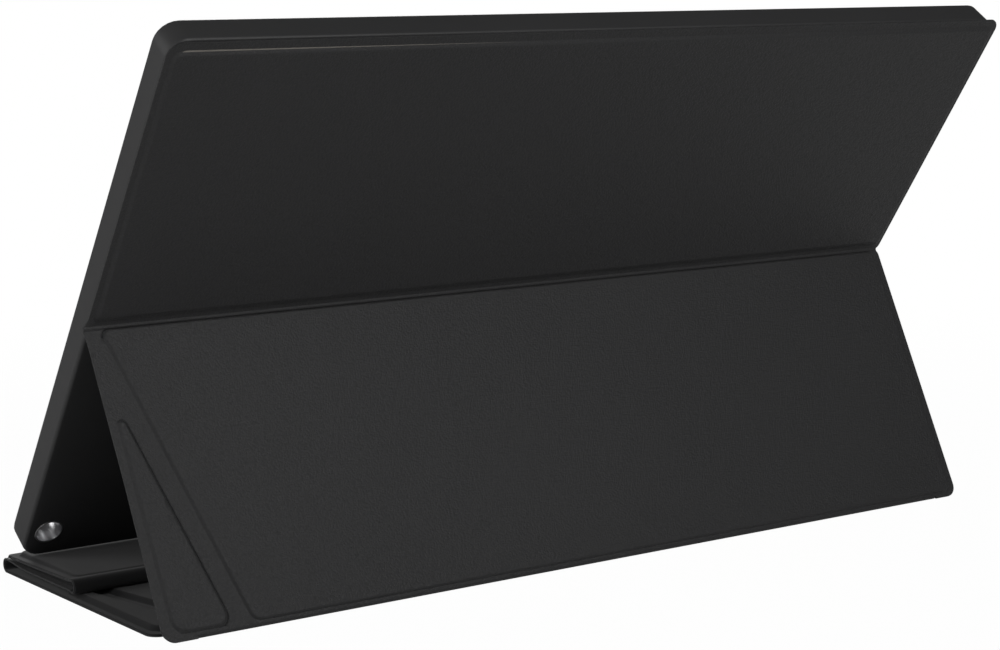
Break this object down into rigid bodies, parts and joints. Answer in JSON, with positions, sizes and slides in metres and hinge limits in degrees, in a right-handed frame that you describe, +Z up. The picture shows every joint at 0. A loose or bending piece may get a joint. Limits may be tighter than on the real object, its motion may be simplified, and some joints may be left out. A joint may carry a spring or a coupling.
{
  "type": "portable monitor with cover",
  "caption": "Slim 15.6 inch portable monitor held by magnets on a folding leather cover that serves as its stand.",
  "frame": {"origin": "middle of the footprint, on the desk", "axes": "+X along the monitor's width, to the right for someone facing the screen; the screen faces -Y; +Z up"},
  "size_m": [0.3598, 0.1492, 0.1981],
  "materials": {
    "leather": "fine pebbled grain, satin",
    "lining": "brushed microfibre",
    "greyboard": "pressed board",
    "casing": "fine satin",
    "bezel": "fine matte",
    "screen": "anti-glare, switched off",
    "clear_guide": "clear",
    "lamps": "matte",
    "tray": "rolled",
    "circuit": "coated",
    "flat_cable": "film",
    "steel": "satin",
    "magnet": "plated",
    "bright_metal": "polished",
    "keys": "fine satin"
  },
  "bodies": {
    "base": {"floor_skin": "leather", "floor_board": "greyboard", "floor_corner_board": "greyboard", "floor_lining": "lining", "spine_strip": "leather", "front_fold": "leather"},
    "mid": {"mid_skin": "leather", "mid_board": "greyboard", "mid_lining": "lining", "back_fold": "lining"},
    "top": {"top_skin": "leather", "top_board": "greyboard", "top_lining": "lining"},
    "leg": {"leg_skin": "leather", "leg_board": "greyboard", "leg_corner_board": "greyboard", "leg_lining": "lining"},
    "upper": {"upper_skin": "leather", "upper_board": "greyboard", "upper_lining": "lining", "cover_magnets": "magnet"},
    "monitor": {"rear_housing": "casing", "front_bezel": "bezel", "lcd_panel": "screen", "light_guide": "clear_guide", "led_strip": "lamps", "panel_tray": "tray", "driver_board": "circuit", "main_board": "circuit", "panel_cable": "flat_cable", "key_board": "circuit", "board_screws": "steel", "usb_c_socket": "steel", "pen_hole_sleeve": "bright_metal", "housing_magnets": "magnet"},
    "power_key": {"power_key": "keys"},
    "menu_key": {"menu_key": "keys"},
    "select_key": {"select_key": "keys"}
  },
  "joints": [
    {"name": "stand_fold", "type": "hinge", "parent": "base", "child": "leg", "pos_m": [0, 0.05274, 0.0013], "axis": [-1, 0, 0], "range_deg": [0, 114]},
    {"name": "crease_fold", "type": "hinge", "parent": "leg", "child": "upper", "pos_m": [0, 0.00677, 0.09768], "axis": [1, 0, 0], "range_deg": [0, 60.5]},
    {"name": "mid_fold", "type": "hinge", "parent": "base", "child": "mid", "pos_m": [0, -0.07283, 0.0027], "axis": [1, 0, 0], "range_deg": [0, 120], "deforming": ["front_fold"]},
    {"name": "top_fold", "type": "hinge", "parent": "mid", "child": "top", "pos_m": [0, -0.01733, 0.0055], "axis": [-1, 0, 0], "range_deg": [0, 53], "deforming": ["back_fold"]},
    {"name": "monitor_release", "type": "slide", "parent": "upper", "child": "monitor", "axis": [0, -0.8141, 0.5807], "range_m": [0, 0.03]},
    {"name": "power_key_press", "type": "slide", "parent": "monitor", "child": "power_key", "axis": [0, 0.8141, -0.5807], "range_m": [0, 0.0004], "stiffness_N_per_m": 300, "springref_m": -0.0004},
    {"name": "menu_key_press", "type": "slide", "parent": "monitor", "child": "menu_key", "axis": [0, 0.8141, -0.5807], "range_m": [0, 0.0004], "stiffness_N_per_m": 300, "springref_m": -0.0004},
    {"name": "select_key_press", "type": "slide", "parent": "monitor", "child": "select_key", "axis": [0, 0.8141, -0.5807], "range_m": [0, 0.0004], "stiffness_N_per_m": 300, "springref_m": -0.0004}
  ],
  "couplings": [
    {"joint": "crease_fold", "follows": "stand_fold", "ratio": 0.52632},
    {"joint": "mid_fold", "follows": "stand_fold", "ratio": 1.05},
    {"joint": "top_fold", "follows": "stand_fold", "ratio": 0.46}
  ]
}
